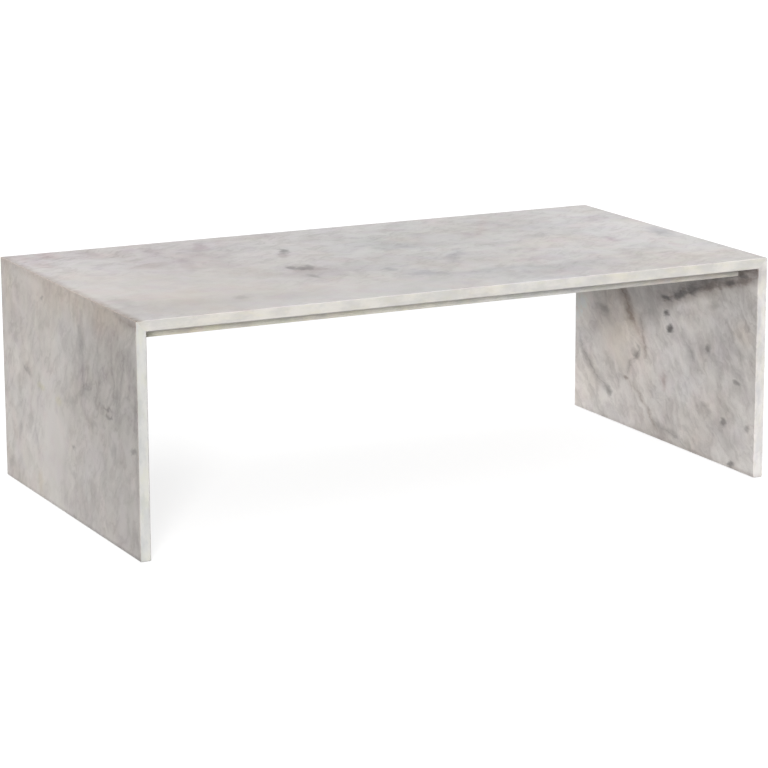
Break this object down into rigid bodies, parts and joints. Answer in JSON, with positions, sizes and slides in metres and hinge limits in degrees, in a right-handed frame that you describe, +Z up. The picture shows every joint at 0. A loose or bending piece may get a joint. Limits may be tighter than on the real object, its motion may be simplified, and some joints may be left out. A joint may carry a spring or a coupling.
{
  "type": "sled coffee table",
  "caption": "Low waterfall coffee table of thin marble slabs: a rectangular top mitred to a full-depth slab leg at each end, stiffened by recessed stone rails.",
  "frame": {"origin": "on the floor under the middle of the table", "axes": "+X along the length to the right leg, +Y from the front to the rear, +Z up; the front faces -Y"},
  "size_m": [1.22, 0.65, 0.4075],
  "materials": {
    "marble": "white marble with soft grey clouds and veins, honed to a low sheen",
    "rail_marble": "the same marble, sawn and lightly honed",
    "resin": "polyester resin, pale brown, dressed flush with the stone",
    "pin_steel": "stainless dowel, drawn",
    "pad_rubber": "pale grey moulded rubber, matt"
  },
  "bodies": {
    "root": {"top_slab": "marble", "left_leg": "marble", "right_leg": "marble", "front_rail": "rail_marble", "rear_rail": "rail_marble", "left_end_rail": "rail_marble", "right_end_rail": "rail_marble", "centre_rail": "rail_marble", "left_mitre_resin": "resin", "right_mitre_resin": "resin", "left_mitre_pins": "pin_steel", "right_mitre_pins": "pin_steel", "left_foot_pads": "pad_rubber", "right_foot_pads": "pad_rubber"}
  },
  "joints": []
}
